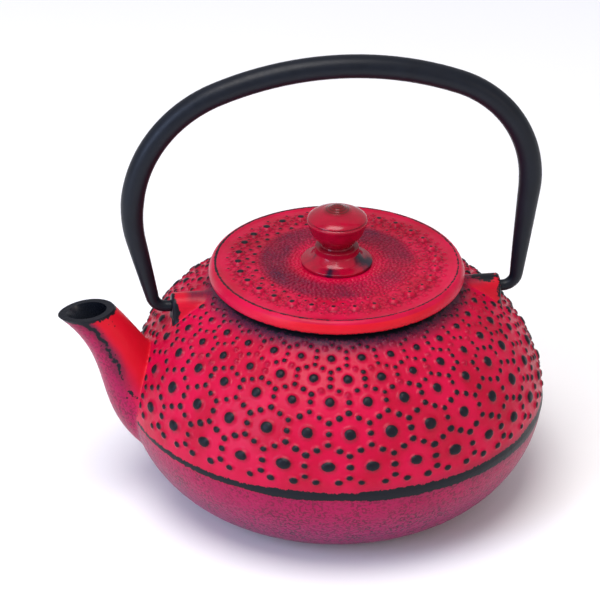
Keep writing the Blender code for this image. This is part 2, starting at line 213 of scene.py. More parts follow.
def turned(name, profile, steps, material, closed=False):
    """A solid of revolution: its profile runs down the outer side, from axis to axis or closed."""
    body = profile if closed else profile[1:-1]
    points = np.empty((len(body), steps, 3))
    points[..., :2] = body[:, None, :1] * circle(steps)
    points[..., 2] = body[:, 1:2]
    points = points.reshape(-1, 3)
    faces = ring_faces(len(body), steps, closed)
    if not closed:
        top, bottom = len(points), len(points) + 1
        last = (len(body) - 1) * steps
        points = np.vstack([points, [0, 0, profile[0, 1]], [0, 0, profile[-1, 1]]])
        faces += [[top, i, (i + 1) % steps] for i in range(steps)]
        faces += [[bottom, last + (i + 1) % steps, last + i] for i in range(steps)]
    return mesh_object(name, points, faces, material)


def tube(name, centres, frames, sections, material):
    """A capped tube: a ring of section points round each centre, in the frame's two directions."""
    sides = len(sections[0])
    rings = [
        centre + section[:, :1] * across + section[:, 1:2] * up
        for centre, (across, up), section in zip(centres, frames, sections)
    ]
    points = np.vstack([*rings, centres[:1], centres[-1:]])
    first, last = len(points) - 2, len(points) - 1
    end = (len(rings) - 1) * sides
    faces = ring_faces(len(rings), sides)
    faces += [[first, i, (i + 1) % sides] for i in range(sides)]
    faces += [[last, end + (i + 1) % sides, end + i] for i in range(sides)]
    obj = mesh_object(name, points, faces, material)
    outwards(obj)
    return obj


def frames_along(centres):
    """Two directions square to the spout's or bail's centre line at each point, the first across the pot."""
    return [(SIDEWAYS, np.cross(ahead, SIDEWAYS)) for ahead in directions(centres)]


def outwards(obj):
    build = bmesh.new()
    build.from_mesh(obj.data)
    bmesh.ops.recalc_face_normals(build, faces=build.faces)
    build.to_mesh(obj.data)
    build.free()


def apply_modifiers(obj):
    graph = bpy.context.evaluated_depsgraph_get()
    mesh = bpy.data.meshes.new_from_object(obj.evaluated_get(graph))
    obj.modifiers.clear()
    obj.data = mesh


def combine(obj, others, operation):
    """Joins or cuts with each other object in turn, and removes those."""
    for other in others:
        modifier = obj.modifiers.new("Combine", "BOOLEAN")
        modifier.operation = operation
        modifier.solver = "MANIFOLD"
        modifier.object = other
        modifier.material_mode = "TRANSFER"
        apply_modifiers(obj)
        bpy.data.objects.remove(other)


def points_of(obj):
    points = np.empty(len(obj.data.vertices) * 3)
    obj.data.vertices.foreach_get("co", points)
    return points.reshape(-1, 3) / MM


def move_points(obj, points):
    obj.data.vertices.foreach_set("co", (points * MM).ravel())
    obj.data.update()


def add_attributes(obj, **attributes):
    """Stores one number at each vertex under each name, for the materials to read."""
    for name, values in attributes.items():
        layer = obj.data.attributes.new(name, "FLOAT", "POINT")
        layer.data.foreach_set("value", np.asarray(values, np.float32))


def shade(obj, angle):
    """Smooth shading but for edges sharper than this many degrees."""
    obj.data.shade_smooth()
    obj.data.set_sharp_from_angle(angle=math.radians(angle))


def nearest(tree_points, points, count):
    """Indices and distances of the nearest tree points to each point."""
    tree = kdtree.KDTree(len(tree_points))
    for i, point in enumerate(tree_points):
        tree.insert(point, i)
    tree.balance()
    found = [tree.find_n(point, count) for point in points]
    index = np.array([[hit[1] for hit in hits] for hits in found])
    distance = np.array([[hit[2] for hit in hits] for hits in found])
    return index, distance


def soften_creases(obj, reach, rounds, limit_angle=14):
    """Rounds the hollow edges where castings meet, within this reach of each."""
    build = bmesh.new()
    build.from_mesh(obj.data)
    crease = {
        vertex.index
        for edge in build.edges
        if edge.is_manifold and edge.calc_face_angle_signed(0) < -math.radians(limit_angle)
        for vertex in edge.verts
    }
    edges = np.array([[v.index for v in edge.verts] for edge in build.edges])
    build.free()
    points = points_of(obj)
    _, distance = nearest(points[sorted(crease)], points, 1)
    weight = (1 - smoothstep(0.25 * reach, reach, distance[:, 0])) * 0.6
    degree = np.bincount(edges.ravel(), minlength=len(points))
    for _ in range(rounds):
        total = np.zeros_like(points)
        for axis in range(3):
            total[:, axis] += np.bincount(edges[:, 0], points[edges[:, 1], axis], len(points))
            total[:, axis] += np.bincount(edges[:, 1], points[edges[:, 0], axis], len(points))
        points += weight[:, None] * (total / np.maximum(degree, 1)[:, None] - points)
    move_points(obj, points)


# Materials

def new_nodes(name):
    """A material with an empty tree but for its Principled shader and output."""
    material = bpy.data.materials.new(name)
    material.use_nodes = True
    tree = material.node_tree
    return material, tree, tree.nodes["Principled BSDF"]


def node(tree, kind, inputs=None, **settings):
    made = tree.nodes.new(kind)
    for key, value in settings.items():
        setattr(made, key, value)
    for key, value in (inputs or {}).items():
        if isinstance(value, bpy.types.NodeSocket):
            tree.links.new(value, made.inputs[key])
        else:
            made.inputs[key].default_value = value
    return made


def maths(tree, operation, *values):
    return node(tree, "ShaderNodeMath", dict(enumerate(values)), operation=operation).outputs[0]


def noise(tree, size, detail):
    """Noise from 0 to 1 whose lumps are about this many millimetres across."""
    place = node(tree, "ShaderNodeTexCoord").outputs["Object"]
    inputs = {"Vector": place, "Scale": 1 / (size * MM), "Detail": detail, "Roughness": 0.5}
    return node(tree, "ShaderNodeTexNoise", inputs).outputs["Fac"]


def drawn_lines(tree, stretch):
    """Noise with this many lumps in a metre along x, y and z, for tool marks."""
    place = node(tree, "ShaderNodeTexCoord").outputs["Object"]
    moved = node(tree, "ShaderNodeMapping", {"Vector": place, "Scale": stretch}).outputs[0]
    return node(tree, "ShaderNodeTexNoise", {"Vector": moved, "Scale": 1.0, "Detail": 2.0}).outputs["Fac"]


def swing(tree, size, detail, reach):
    """Noise centred on 0 that swings to this reach on each side."""
    return maths(tree, "MULTIPLY_ADD", noise(tree, size, detail), 2 * reach, -reach)


def ramp(tree, value, low, high, to_low=0.0, to_high=1.0):
    """An eased step from to_low to to_high as the value goes from low to high."""
    inputs = {"Value": value, "From Min": low, "From Max": high, "To Min": to_low, "To Max": to_high}
    return node(tree, "ShaderNodeMapRange", inputs, interpolation_type="SMOOTHSTEP").outputs["Result"]


def blend_colours(tree, factor, first, second):
    inputs = {0: factor, 6: first, 7: second}
    return node(tree, "ShaderNodeMix", inputs, data_type="RGBA").outputs[2]


def attribute(tree, name):
    return node(tree, "ShaderNodeAttribute", attribute_name=name).outputs["Fac"]


def coated(tree, shader, colour, roughness):
    tree.links.new(colour, shader.inputs["Base Color"])
    tree.links.new(roughness, shader.inputs["Roughness"])


def bumped(tree, shader, height, strength, distance):
    inputs = {"Height": height, "Strength": strength, "Distance": distance * MM}
    bump = node(tree, "ShaderNodeBump", inputs)
    tree.links.new(bump.outputs["Normal"], shader.inputs["Normal"])


# Colours of the paint and of what shows through it, and of painted shade, shadow, reflection and warm light
CRIMSON = (0.560, 0.0020, 0.046, 1)
DEEP_CRIMSON = (0.430, 0.0012, 0.026, 1)
SHADED_CRIMSON = (0.130, 0.0010, 0.012, 1)
# Plum: painted shade on the bowl, deepest towards its foot, and on the spout's lower side
PLUM = (0.210, 0.0022, 0.085, 1)
# Painted warm light: orange-red for the spout's upper side, the lugs and the front of the lid's side band
EMBER = (0.620, 0.0060, 0.012, 1)
# Smoke of wear, also used for painted shadow on the neck under the lid
SMOKE = (0.048, 0.0120, 0.036, 1)
BLACK_COAT = (0.0060, 0.0068, 0.0110, 1)
KNOB_CRIMSON, KNOB_DEEP = (0.450, 0.0014, 0.026, 1), (0.230, 0.0010, 0.014, 1)
# The knob's tip browned by wear, a brown also used for painted shade at its waist; then the dark of painted
# shade in its groove and on its foot, and of a painted reflection on its foot
KNOB_BROWN, KNOB_RUBBED = (0.075, 0.010, 0.008, 1), (0.016, 0.007, 0.020, 1)


def rubbed_iron():
    """Crimson paint over black, gone through to the black where the wear attribute or dots is above 0
    millimetres; at the neck under the lid and along the lid's lower edge that black is partly painted
    shadow.
    """
    material, tree, shader = new_nodes("rubbed_crimson_iron")
    fine = swing(tree, 0.5, 2, 0.35)
    ragged = maths(tree, "ADD", swing(tree, 1.3, 3, 0.75), fine)
    edge = maths(tree, "ADD", attribute(tree, "worn"), ragged)
    dot = maths(tree, "ADD", attribute(tree, "dots"), maths(tree, "MULTIPLY", fine, 0.45))
    # Black where the paint is gone, and painted shadow at the neck under the lid and along the lid's lower
    # edge
    rubbed = maths(tree, "MAXIMUM", ramp(tree, edge, -0.12, 0.25), ramp(tree, dot, -0.22, 0.20))
    grain = attribute(tree, "grain")
    speck = ramp(tree, noise(tree, 1.0, 2), 0.49, 0.57)
    patch = ramp(tree, noise(tree, 9, 2), 0.28, 0.62, 0.35, 1.0)
    specks = maths(tree, "MULTIPLY", maths(tree, "MULTIPLY", speck, patch), grain)
    dark = maths(tree, "MAXIMUM", rubbed, maths(tree, "MULTIPLY", specks, 0.82))
    red = blend_colours(tree, ramp(tree, noise(tree, 14, 3), 0.35, 0.7), CRIMSON, DEEP_CRIMSON)
    # Painted warm light on the spout's upper side, the lugs and the front of the lid's side band
    red = blend_colours(tree, attribute(tree, "warm"), red, EMBER)
    # Painted shade: plum on the bowl, deepest towards its foot, and on the spout's lower side
    red = blend_colours(tree, maths(tree, "MULTIPLY", grain, 0.85), red, PLUM)
    mottle = ramp(tree, noise(tree, 0.7, 2), 0.25, 0.6, 0.70, 1)
    # Smoke of wear, and painted shadow on the shoulder under the lid
    red = blend_colours(tree, maths(tree, "MULTIPLY", attribute(tree, "scuff"), mottle), red, SMOKE)
    # Painted shade in the crevices round the domes' feet and between the lid's bumps and pebbles
    red = blend_colours(tree, maths(tree, "MULTIPLY", attribute(tree, "pit"), 0.72), red, SHADED_CRIMSON)
    rough = maths(tree, "MULTIPLY_ADD", noise(tree, 2.2, 3), 0.18, 0.26)
    rough = maths(tree, "MULTIPLY_ADD", rubbed, 0.05, rough)
    coated(tree, shader, blend_colours(tree, dark, red, BLACK_COAT), rough)
    shader.inputs["Specular IOR Level"].default_value = 0.17
    skin = maths(tree, "MULTIPLY_ADD", noise(tree, 0.45, 2), 0.5, noise(tree, 1.6, 3))
    pebbles = maths(tree, "MULTIPLY", noise(tree, 0.95, 2), maths(tree, "MULTIPLY", grain, 4.0))
    bumped(tree, shader, maths(tree, "ADD", skin, pebbles), 0.40, 0.14)
    return material


def satin_crimson():
    """The turned knob: a smoother paint over fine tool rings, with a tip browned by wear, painted shade at
    its waist, in its groove and on its foot, and a painted reflection at the front left of its foot.
    """
    material, tree, shader = new_nodes("satin_crimson")
    ragged = maths(tree, "ADD", attribute(tree, "worn"), swing(tree, 1.8, 3, 0.6))
    # Painted shade in the groove and on the foot's right, and a painted reflection on the foot's front left
    rubbed = ramp(tree, ragged, -0.2, 1.5)
    red = blend_colours(tree, noise(tree, 4, 3), KNOB_CRIMSON, KNOB_DEEP)
    # The knob's tip browned by wear, and painted shade at its waist under the cup
    red = blend_colours(tree, attribute(tree, "pit"), red, KNOB_BROWN)
    rough = ramp(tree, noise(tree, 1.0, 2), 0.2, 0.8, 0.14, 0.24)
    coated(tree, shader, blend_colours(tree, rubbed, red, KNOB_RUBBED), rough)
    shader.inputs["Specular IOR Level"].default_value = 0.34
    bumped(tree, shader, drawn_lines(tree, (60, 60, 2400)), 0.30, 0.05)
    return material


def black_enamel():
    """Inside the pot and under the lid."""
    material, tree, shader = new_nodes("black_enamel")
    blackest, greyest = (0.006, 0.007, 0.011, 1), (0.016, 0.019, 0.027, 1)
    colour = blend_colours(tree, noise(tree, 3, 3), blackest, greyest)
    coated(tree, shader, colour, ramp(tree, noise(tree, 2, 2), 0.2, 0.8, 0.20, 0.34))
    bumped(tree, shader, noise(tree, 1.2, 2), 0.25, 0.08)
    return material


def powder_coat():
    """Matt black powder coat on the bail, with a fine orange-peel skin."""
    material, tree, shader = new_nodes("black_powder_coat")
    blackest, bluest = (0.0022, 0.0034, 0.0070, 1), (0.0050, 0.0075, 0.0140, 1)
    colour = blend_colours(tree, noise(tree, 6, 3), blackest, bluest)
    coated(tree, shader, colour, ramp(tree, noise(tree, 1.5, 3), 0.2, 0.8, 0.34, 0.48))
    shader.inputs["Specular IOR Level"].default_value = 0.24
    skin = maths(tree, "MULTIPLY_ADD", noise(tree, 0.35, 2), 0.7, noise(tree, 1.0, 2))
    bumped(tree, shader, skin, 0.3, 0.06)
    return material


def stainless(name, stretch):
    """Bright steel with fine drawn lines."""
    material, tree, shader = new_nodes(name)
    lines = drawn_lines(tree, stretch)
    dull, bright = (0.50, 0.50, 0.49, 1), (0.68, 0.68, 0.66, 1)
    coated(tree, shader, blend_colours(tree, lines, dull, bright), ramp(tree, lines, 0.2, 0.8, 0.22, 0.38))
    shader.inputs["Metallic"].default_value = 1.0
    bumped(tree, shader, lines, 0.2, 0.02)
    return material


def plain_floor():
    material, tree, shader = new_nodes("pale_floor")
    pale, paler = (0.955, 0.955, 0.955, 1), (0.97, 0.97, 0.97, 1)
    colour = blend_colours(tree, noise(tree, 160, 2), pale, paler)
    tree.links.new(colour, shader.inputs["Base Color"])
    shader.inputs["Roughness"].default_value = 0.8
    return material


RUBBED_IRON = rubbed_iron()
SATIN_CRIMSON = satin_crimson()
BLACK_ENAMEL = black_enamel()
POWDER_COAT = powder_coat()
TURNED_STEEL = stainless("turned_stainless", (90, 90, 4000))
WIRE_STEEL = stainless("wire_stainless", (2600, 120, 2600))


# The pot's outlines

def shoulder_profile():
    """Distance from the axis and height, down from the neck to the ridge: a flare, then one arc."""
    return np.vstack([FLARE_TOP, arc(SHOULDER_TOP, (BODY_RADIUS, RIDGE_HEIGHT), SHOULDER_BULGE)])


def bowl_profile():
    """One arc from just under the ridge down to the rim of the underside."""
    return arc(BOWL_TOP, (BASE_RADIUS, 0), BOWL_BULGE)


SHOULDER = respaced(shoulder_profile(), 0.55)
BOWL = respaced(bowl_profile(), 0.9)
NECK = np.array([(NECK_RADIUS - 0.5, NECK_TOP), (NECK_RADIUS, NECK_TOP - 0.5), (NECK_RADIUS, 80.6)])
SIDE = np.vstack([respaced(NECK, 0.5), SHOULDER[1:], BOWL])
SIDE_ALONG = lengths_along(SIDE)


def side_radius(height):
    return np.interp(height, SIDE[::-1, 1], SIDE[::-1, 0])


def along_side(height):
    """Arc length down the outline at this height."""
    return np.interp(height, SIDE[::-1, 1], SIDE_ALONG[::-1])


def side_point(along, angle):
    radius = np.interp(along, SIDE_ALONG, SIDE[:, 0])
    height = np.interp(along, SIDE_ALONG, SIDE[:, 1])
    return np.column_stack([radius * np.cos(angle), radius * np.sin(angle), height])


# The spout: oval sections along a curved path, with a soft ridge on each flank

def spout_path(steps=84):
    """Rows of distance from the axis, height, half-width across and half-height."""
    t = np.linspace(0, 1, steps + 1)[:, None]
    rest = 1 - t
    a, b, c, d = SPOUT_CONTROLS
    centre = a * rest**3 + b * 3 * rest**2 * t + c * 3 * rest * t**2 + d * t**3
    size = SPOUT_MOUTH + (SPOUT_ROOT - SPOUT_MOUTH) * rest**SPOUT_TAPER
    return np.column_stack([centre, size])


SPOUT_PATH = spout_path()
SPOUT_CENTRES = np.column_stack([-SPOUT_PATH[:, 0], np.zeros(len(SPOUT_PATH)), SPOUT_PATH[:, 1]])
SPOUT_FRAMES = frames_along(SPOUT_CENTRES)


def spout_tube(name, wall, material, sides):
    oval = circle(sides)
    oval = np.sign(oval) * np.abs(oval) ** (2 / SPOUT_RIDGE)
    sections = [oval * (half - wall) for half in SPOUT_PATH[:, 2:]]
    return tube(name, SPOUT_CENTRES, SPOUT_FRAMES, sections, material)


def mouth_axes():
    """Unit directions along the slanting mouth and up out of it."""
    along = (MOUTH_TIP - MOUTH_BACK) / np.linalg.norm(MOUTH_TIP - MOUTH_BACK)
    return along, np.array([along[2], 0, -along[0]])


def mouth_cutter():
    """A block that takes off all of the spout above its mouth."""
    along, up = mouth_axes()
    size = 40
    build = bmesh.new()
    bmesh.ops.create_cube(build, size=size)
    corners = np.array([vertex.co for vertex in build.verts])
    faces = [[vertex.index for vertex in face.verts] for face in build.faces]
    build.free()
    centre = (MOUTH_BACK + MOUTH_TIP) / 2 + up * size / 2
    points = centre + corners @ np.array([along, SIDEWAYS, up])
    obj = mesh_object("mouth_cutter", points, faces, RUBBED_IRON)
    outwards(obj)
    return obj


# The lugs

def lug(side):
    """A rounded fin from the neck to a flat outer face, before its socket is bored."""
    turn = np.linspace(0, math.pi, 25)
    top = LUG_TOP_RADIUS * np.column_stack([np.cos(turn), np.sin(turn)])
    wide = LUG_HALF_WIDTH
    left = smooth_through([(-LUG_TOP_RADIUS, 0), (-5.6, -6), (-wide, -11), (-wide, -16)], 6)[1:]
    outline = np.vstack([top, left, left[::-1] * (-1, 1)])
    reach = np.array([*np.linspace(LUG_ROOT, LUG_FACE - 1.6, 6), LUG_FACE - 0.7, LUG_FACE - 0.25, LUG_FACE])
    inset = np.array([*[0] * 6, 0.05, 0.4, 1.0])  # the rounded edge of the face
    centres = np.column_stack([side * reach, np.zeros(len(reach)), np.full(len(reach), LUG_AXIS)])
    sections = [outline * (1 - depth / LUG_TOP_RADIUS) for depth in inset]
    return tube("lug", centres, [UPRIGHT] * len(reach), sections, RUBBED_IRON)


def socket_cutter(side):
    """The blind hole in a lug for the bail's end."""
    start, end = side * (LUG_FACE - SOCKET_DEPTH), side * (LUG_FACE + 3)
    centres = np.array([(start, 0, LUG_AXIS), (end, 0, LUG_AXIS)])
    return tube("socket", centres, [UPRIGHT] * 2, [SOCKET_RADIUS * circle(32)] * 2, BLACK_ENAMEL)


def cavity():
    """The pot's hollow, with the ledge in its neck that the infuser hangs on."""
    # The arcs' ends are left out, so the hollow is rounder at the ridge and at its floor
    inner_side = np.vstack([shoulder_profile()[4:-2], bowl_profile()[3:-7]])
    inner = respaced(moved_inwards(respaced(inner_side, 1.5), WALL), 2.0)
    profile = np.vstack([
        (0, NECK_TOP + 5), (LEDGE_OUTER, NECK_TOP + 5), (LEDGE_OUTER, LEDGE_HEIGHT),
        (LEDGE_INNER, LEDGE_HEIGHT), (LEDGE_INNER, 76.6), inner, (40, FLOOR_HEIGHT), (0, FLOOR_HEIGHT),
    ])
    return turned("cavity", profile, 180, BLACK_ENAMEL)


# The cast pattern: domes at the middle, corners and edges of hexagonal cells

ROW_HEIGHTS = (46.8, 56.8, 65.3, 70.8, 75.1)
BIG_RADII = (1.72, 1.95, 1.75, 1.50, 1.25)
SMALL_RADII = (0.98, 0.98, 0.88, 0.76, 0.64)
PHASE = math.radians(1.4 - 90)  # angle of the lowest row's first big dome, from +X


def dome_layout():
    """Every dome of the shoulder: arc length down the side, angle, radius and whether it is big."""
    rows = list(along_side(np.array(ROW_HEIGHTS)))
    gap_below, gap_above = rows[0] - rows[1], rows[-2] - rows[-1]
    levels = [rows[0] + gap_below, *rows, rows[-1] - gap_above]
    small = [SMALL_RADII[0], *SMALL_RADII, SMALL_RADII[-1]]
    domes = []
    for level, height in enumerate(levels):
        shift = 0.5 * ((level + 1) % 2)
        inside = 0 < level < len(levels) - 1
        for cell in range(CELLS):
            middle = PHASE + CELL * (cell + shift)
            if inside:
                domes.append((height, middle, BIG_RADII[level - 1], True))
                domes.append((height, middle + CELL / 2, small[level], False))
            if level == len(levels) - 1:
                continue
            above = levels[level + 1]
            for share, turn in ((1 / 3, 0.5), (1 / 2, 0.25), (1 / 2, 0.75), (2 / 3, 0.0)):
                if not inside and share == 1 / 3:
                    continue
                place = height + (above - height) * share
                size = small[level] * (1 - share) + small[level + 1] * share
                if level == len(levels) - 2 and share == 2 / 3:
                    size *= 0.9
                domes.append((place, middle + CELL * turn, size, False))
    return domes


def dome_fields(along, angle, domes):
    """Rise, signed distance inside the rubbed top, and shade round the foot, from domes on the side."""
    rng = np.random.default_rng(SEED)
    centres = np.array([(place, turn) for place, turn, _, _ in domes])
    stray, usual_radius = 0.09, 62
    centres[:, 0] += rng.normal(0, stray, len(domes))
    centres[:, 1] += rng.normal(0, stray, len(domes)) / usual_radius
    size = np.array([dome[2] for dome in domes]) * rng.normal(1, 0.04, len(domes))
    big = np.array([dome[3] for dome in domes])
    rise = np.where(big, 1.25, 0.85) * rng.normal(1, 0.07, len(domes))
    rub = rubbed_tops(centres, size, big, rng)
    # How much wider than high the domes are, most in the lowest row
    wide = np.interp(centres[:, 0], along_side(np.array([62.0, 56.8, 46.8])), (1.10, 1.16, 1.38))
    wide *= np.where(big & (centres[:, 0] < along_side(52)), 0.92, 1.0)
    spots = side_point(centres[:, 0], centres[:, 1])
    here = side_point(along, angle)
    index, _ = nearest(spots, here, 4)
    radius = polar(here)[0][:, None]
    turn = (angle[:, None] - centres[index, 1] + math.pi) % math.tau - math.pi
    distance = np.hypot(along[:, None] - centres[index, 0], turn * radius / wide[index])
    distance = distance + 0.11 * ripple(here, 1.8, 1)[:, None]
    foot = size[index] * np.where(big[index], 1.50, 1.65)
    lift = rise[index] * (1 - smoothstep(0.35, 1.0, distance / foot))
    # Painted shade: a dark ring round each dome's foot
    halo = 1 - smoothstep(0.85, 1.75, distance / size[index])
    return lift.max(axis=1), (rub[index] - distance).max(axis=1), halo.max(axis=1)


def rubbed_tops(centres, size, big, rng):
    """Radius of each dome's black top; towards the neck some of the small ones keep their paint."""
    upper = smoothstep(along_side(63), along_side(74), centres[:, 0])
    kept = rng.uniform(0, 1, len(size)) < 0.30 * upper * ~big
    rub = size * rng.normal(1, np.where(big, 0.05, 0.08), len(size))
    return np.where(kept, rub * 0.25 - 0.5, rub)


def spout_place(points):
    """Gap to the spout's skin in millimetres (negative inside), and place across and up its section.

    The two places run from -1 to 1, and the second is positive on the spout's upper side."""
    ups = np.array([up for _, up in SPOUT_FRAMES])
    ahead = np.cross(SIDEWAYS, ups)
    offset = points @ ahead.T - (SPOUT_CENTRES * ahead).sum(axis=1)
    station = np.abs(offset).argmin(axis=1)
    away = points - SPOUT_CENTRES[station]
    half = SPOUT_PATH[station, 2:]
    u = away[:, 1] / half[:, 0]
    v = (away * ups[station]).sum(axis=1) / half[:, 1]
    value = (np.abs(u) ** SPOUT_RIDGE + np.abs(v) ** SPOUT_RIDGE) ** (1 / SPOUT_RIDGE)
    return (value - 1) * half.min(axis=1), u, -v


def lug_gap(points):
    """Gap to the nearer lug's flank in millimetres, taken across it."""
    x, y, z = points.T
    drop = LUG_AXIS - z
    width = np.interp(drop, (0, 6, 11), (LUG_TOP_RADIUS, 5.6, LUG_HALF_WIDTH))
    above = np.hypot(y, np.minimum(drop, 0)) - LUG_TOP_RADIUS
    flank = np.where(drop > 0, np.abs(y) - width, above)
    beyond = np.maximum(np.abs(x) - LUG_FACE, drop - 16)
    gap = np.maximum(flank, beyond)
    return np.where(np.abs(x) > NECK_RADIUS, gap, 20.0)


# Wear on the pot, as signed distances in millimetres that are positive where the paint has gone

def wear_on_ridge(points, along, angle):
    """The band at the widest line: a hair by the spout, broad and ragged towards the right."""
    facing = np.degrees(angle)  # -90 is the front, 0 the right
    half_width = np.interp(facing, (-180, -150, -120, -90, -60, -30, 0, 60, 120, 180),
                           (0.7, 1.5, 2.1, 2.3, 2.5, 2.9, 3.0, 2.4, 1.9, 0.7))
    offset = along - along_side(RIDGE_HEIGHT - 0.2)
    ragged = 0.30 * ripple(points, 1.8, 11) + 0.45 * ripple(points, 13, 12)
    narrowing = np.where(offset < 0, 1.15, 1.35)
    return (half_width + ragged - np.abs(offset) * narrowing) * 0.9


def off_streak(points, v):
    """How far up or down the spout's section each point is from the middle of its flank streak."""
    return np.abs(v + 0.22 + 0.10 * ripple(points, 6.0, 23))


def wear_on_spout(points, u, v):
    """A black rim at the mouth, a streak down each flank and faint traces on the rear upper side."""
    _, up = mouth_axes()
    below_mouth = -((points - MOUTH_BACK) @ up)
    rim = 1.0 + 0.40 * ripple(points, 4.0, 22) - below_mouth
    strength = np.interp(points[:, 2], (36, 44, 54, 72), (-0.9, -0.1, 0.45, 0.85))
    streak = strength - 6.3 * off_streak(points, v) + 0.95 * ripple(points, 1.5, 21)
    streak = np.where(np.abs(u) > 0.55, streak, -3)
    behind = 0.15 - 0.16 * below_mouth - 2.4 * np.abs(v - 0.62) + 0.9 * ripple(points, 1.4, 24)
    behind = np.where(v > 0.3, behind, -3)
    return np.maximum.reduce([rim, streak, behind])


def smoke_on_spout(points, u, v):
    """The soft darkening round the flank streaks."""
    near_line = 1 - smoothstep(0.05, 0.40, off_streak(points, v))
    return 0.85 * near_line * (np.abs(u) > 0.4) * smoothstep(40, 60, points[:, 2])


def wear_on_lugs(points):
    """Left lug: a patch on its outer front edge. Right lug: a ragged top and outer edge."""
    x, y, z = points.T
    side = np.sign(x)
    reach = np.abs(x)
    top = z - LUG_AXIS
    edge = LUG_FACE - reach
    ragged = 0.5 * ripple(points, 3.0, 31) + 0.4 * ripple(points, 1.2, 32)
    left = 1.5 - edge - 0.22 * y - 0.12 * np.abs(top)
    right = np.maximum(0.8 - edge * 0.7, (top - 3.5) * 0.8 - 0.12 * np.abs(reach - 54))
    return np.where(side < 0, left, right) + ragged


def pot_attributes(points, on_body, along, angle, gap, u, v, lug_near):
    """Wear, pebbled texture and smoke, each also carrying painted shade, and painted orange-red light, for
    every vertex of the pot.
    """
    x, _, z = points.T
    worn = np.full(len(points), -3.0)
    worn[on_body] = wear_on_ridge(points, along, angle)[on_body]
    on_spout = (gap > -2.7) & (gap < 0.6) & ~on_body & (x < -60)
    worn[on_spout] = wear_on_spout(points, u, v)[on_spout]
    near_body = on_body & (np.abs(gap) < 3) & (z < 60)
    worn[near_body] = np.maximum(worn, 0.45 - np.abs(gap))[near_body]
    on_lug = (lug_near < 0.4) & (np.abs(x) > 47) & ~on_body
    worn[on_lug] = wear_on_lugs(points)[on_lug]
    worn[z < 0.4] = 2.0
    near_neck = (polar(points)[0] < 52) & (z > 73)
    # The neck's black paint, and painted shadow under the lid: black round the top of the neck
    soot = 0.6 * (z - 79.1) + 0.12 * ripple(points, 3.0, 42)
    worn[near_neck] = np.maximum(worn, soot)[near_neck]
    # Painted shadow under the lid: the shoulder darkens up to the neck
    scuff = smoothstep(74.6, 79.0, z) * near_neck
    rightwards = 0.5 + 0.5 * np.cos(angle - math.radians(-10))
    band = 1 - smoothstep(0.5, 5.5, np.abs(along - along_side(RIDGE_HEIGHT)))
    scuff = np.maximum(scuff, 0.75 * band * rightwards**2 * on_body)
    scuff[on_spout] = smoke_on_spout(points, u, v)[on_spout]
    # Pebbled texture and specks below the ridge and on the spout's lower side; the plum they bring is
    # painted shade, deepest towards the bottom
    grain = (1 - smoothstep(34.2, 36.4, z)) * on_body
    grain *= 1 - 0.40 * smoothstep(12, 34, z)
    grain[on_spout] = (0.60 * (1 - smoothstep(-0.55, 0.0, v)))[on_spout]
    # Painted warm light: the spout's upper side and the lugs turn orange-red
    warm = 0.75 * smoothstep(-0.15, 0.35, v) * on_spout
    warm[on_lug] = 0.6
    return worn, grain, scuff, warm


def make_pot():
    outline = np.vstack([(0, NECK_TOP), SIDE, (0, 0)])
    pot = turned("pot_casting", outline, AROUND, RUBBED_IRON)
    spout = spout_tube("spout", 0.0, RUBBED_IRON, SPOUT_SIDES)
    combine(spout, [mouth_cutter()], "DIFFERENCE")
    combine(pot, [spout, lug(-1), lug(1)], "UNION")
    soften_creases(pot, 2.2, 10)
    inside = spout_tube("passage", SPOUT_WALL, BLACK_ENAMEL, 64)
    combine(pot, [cavity(), inside, socket_cutter(-1), socket_cutter(1)], "DIFFERENCE")
    dress_pot(pot)
    return pot


def dress_pot(pot):
    """Raises the domes, roughens the casting and marks where the paint has gone, and where shade and
    orange-red light are painted into its colour.
    """
    points = points_of(pot)
    x, _, z = points.T
    radius, angle = polar(points)
    along = along_side(z)
    on_body = np.abs(radius - side_radius(z)) < 0.06
    gap, u, v = np.full(len(points), 20.0), *np.zeros((2, len(points)))
    near = x < -45
    gap[near], u[near], v[near] = spout_place(points[near])
    lug_near = lug_gap(points)
    pattern = on_body & (z > 37.5) & (z < 79.5)
    lift, dots = np.zeros(len(points)), np.full(len(points), -3.0)
    rise, tops, halo = dome_fields(along[pattern], angle[pattern], dome_layout())
    clear = smoothstep(0.6, 2.2, np.minimum(gap[pattern], lug_near[pattern]))
    lift[pattern] = rise * clear
    dots[pattern] = np.where(clear > 0.5, tops, -3.0)
    # Painted shade round the domes' feet
    pit = np.zeros(len(points))
    pit[pattern] = 0.55 * halo * clear
    worn, grain, scuff, warm = pot_attributes(points, on_body, along, angle, gap, u, v, lug_near)
    pores = 0.06 * ripple(points, 2.4, 41) * on_body * (z > 1)
    lift = np.minimum(lift + np.minimum(pores, 0), np.maximum(BODY_RADIUS - radius - 0.02, 0))
    move_points(pot, points + side_normals(along, angle) * lift[:, None])
    add_attributes(pot, worn=worn, dots=dots, grain=grain, scuff=scuff, warm=warm, pit=pit)
    shade(pot, 48)


def side_normals(along, angle):
    down = directions(SIDE)
    out = np.interp(along, SIDE_ALONG, -down[:, 1])
    up = np.interp(along, SIDE_ALONG, down[:, 0])
    return np.column_stack([out * np.cos(angle), out * np.sin(angle), up])


# The lid

